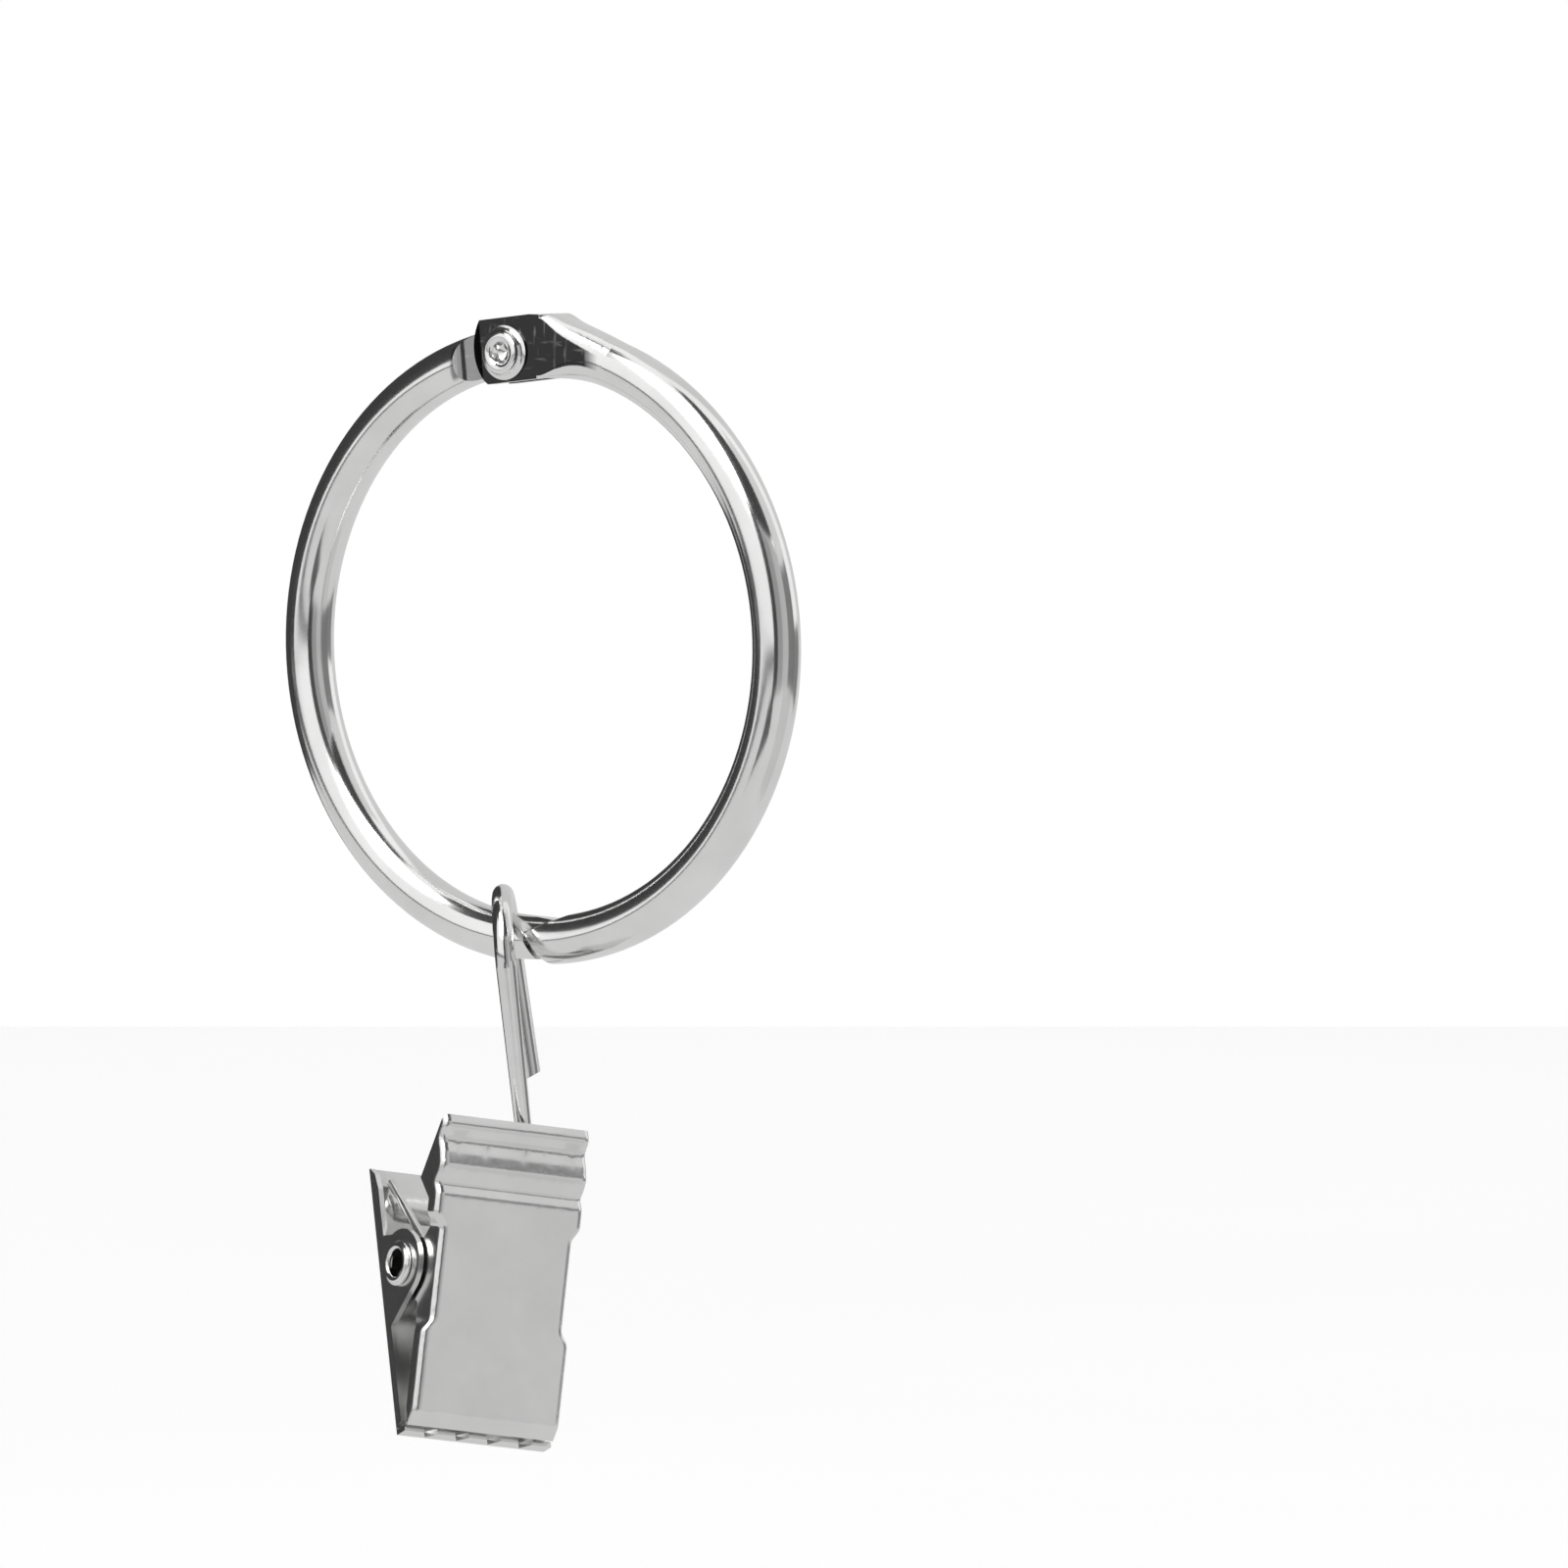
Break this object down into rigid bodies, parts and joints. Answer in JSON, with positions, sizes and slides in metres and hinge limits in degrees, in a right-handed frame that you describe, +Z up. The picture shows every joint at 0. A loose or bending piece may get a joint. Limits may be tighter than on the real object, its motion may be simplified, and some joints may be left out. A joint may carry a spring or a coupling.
{
  "type": "curtain ring with clip",
  "caption": "Openable round-wire curtain ring with a hinged fork joint, a wire hook hung on it and a sprung sheet-metal clip with a toothed toe.",
  "frame": {"origin": "centre of the ring's round opening, halfway through its wire", "axes": "+Y along the rod that passes through the ring, from the riveted face the picture shows towards the far face; +Z up with the ring hanging and the hinge on top; +X towards the right half"},
  "size_m": [0.0448, 0.0164, 0.0799],
  "materials": {
    "ring_plating": "polished nickel plate on steel wire",
    "rivet_plating": "polished nickel plate",
    "hook_plating": "bright drawn wire, nickel plated",
    "clip_plating": "nickel-plated sheet, slightly satin on the flat faces",
    "spring_steel": "plated spring wire"
  },
  "bodies": {
    "right_half": {"right_ring_half": "ring_plating", "hinge_rivet": "rivet_plating"},
    "left_half": {"left_ring_half": "ring_plating"},
    "hook": {"hook_wire": "hook_plating"},
    "clip_front": {"front_jaw": "clip_plating", "pivot_eyelet": "rivet_plating", "jaw_spring": "spring_steel"},
    "clip_rear": {"rear_jaw": "clip_plating"}
  },
  "joints": [
    {"name": "ring_open", "type": "hinge", "parent": "right_half", "child": "left_half", "pos_m": [-0.00195, 0, 0.02045], "axis": [0, 1, 0], "range_deg": [0, 90]},
    {"name": "hook_swing", "type": "hinge", "parent": "left_half", "child": "hook", "pos_m": [-0.00314, 0, -0.02046], "axis": [0.9884, 0, -0.1517], "range_deg": [-75, 75]},
    {"name": "clip_swing", "type": "hinge", "parent": "hook", "child": "clip_front", "pos_m": [-0.00376, -0.003, -0.04399], "axis": [0.3489, 0.9283, -0.1288], "range_deg": [-1, 20]},
    {"name": "jaw_squeeze", "type": "hinge", "parent": "clip_front", "child": "clip_rear", "pos_m": [-0.00376, -0.003, -0.04399], "axis": [0.3489, 0.9283, -0.1288], "range_deg": [0, 25], "stiffness_Nm_per_rad": 0.05, "springref_deg": -17.19, "deforming": ["jaw_spring"]}
  ]
}
